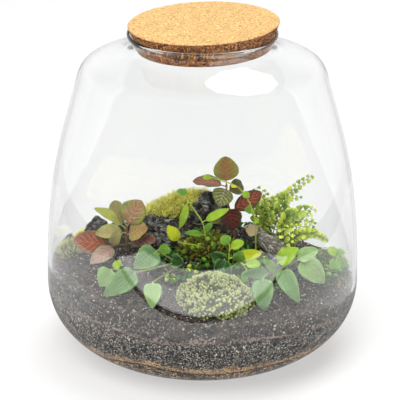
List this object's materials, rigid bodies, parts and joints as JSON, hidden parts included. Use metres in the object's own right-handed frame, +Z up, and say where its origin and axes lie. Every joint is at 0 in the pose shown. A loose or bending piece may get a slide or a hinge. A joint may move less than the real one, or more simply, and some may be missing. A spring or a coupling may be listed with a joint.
{
  "type": "glass plant terrarium",
  "caption": "Round-bellied glass jar with a tapered cork lid, holding layers of grit, charcoal and soil, with stones, moss, a fern and small creeping plants.",
  "frame": {"origin": "middle of the jar's foot, on the surface it stands on", "axes": "+Z up along the jar's axis; -Y towards the side that the picture shows"},
  "size_m": [0.25, 0.25, 0.2716],
  "materials": {
    "glass": "clear, polished, blown",
    "cork": "matt agglomerated cork",
    "grit": "matt, coarse grains of fired clay",
    "charcoal": "matt, broken grains",
    "soil": "matt, moist crumbs and fibres",
    "dark_stone": "matt, broken slate",
    "pale_stone": "matt, broken",
    "weathered_wood": "matt, weathered, fibrous",
    "green_moss": "soft, dense, fine shoots",
    "pale_moss": "soft, star-shaped tufts",
    "net_leaf": "satin leaf with coloured veins",
    "creeper_leaf": "satin leaf",
    "ivy_leaf": "satin leaf with pale veins",
    "fern_leaf": "satin leaf"
  },
  "bodies": {
    "root": {"glass_jar": "glass", "cork_lid": "cork", "drainage_grit": "grit", "charcoal": "charcoal", "soil": "soil", "rock_peak": "dark_stone", "rock_ridge": "dark_stone", "rock_slab": "dark_stone", "rock_left_tall": "dark_stone", "rock_left_low": "dark_stone", "rock_right": "pale_stone", "wood_stub": "weathered_wood", "moss_front": "pale_moss", "moss_ridge": "green_moss", "moss_centre": "green_moss", "moss_left": "pale_moss", "moss_behind_left": "green_moss", "moss_right": "green_moss", "moss_back": "green_moss", "net_plant_left": "net_leaf", "net_plant_centre": "net_leaf", "creeper_centre": "creeper_leaf", "creeper_arch": "creeper_leaf", "creeper_front": "creeper_leaf", "creeper_right": "creeper_leaf", "ivy_left": "ivy_leaf", "ivy_right": "ivy_leaf", "fern_frond_1": "fern_leaf", "fern_frond_2": "fern_leaf", "fern_frond_3": "fern_leaf", "fern_frond_4": "fern_leaf", "fern_frond_5": "fern_leaf", "fern_frond_6": "fern_leaf", "fern_frond_7": "fern_leaf", "fern_frond_8": "fern_leaf", "fern_frond_9": "fern_leaf"}
  },
  "joints": []
}
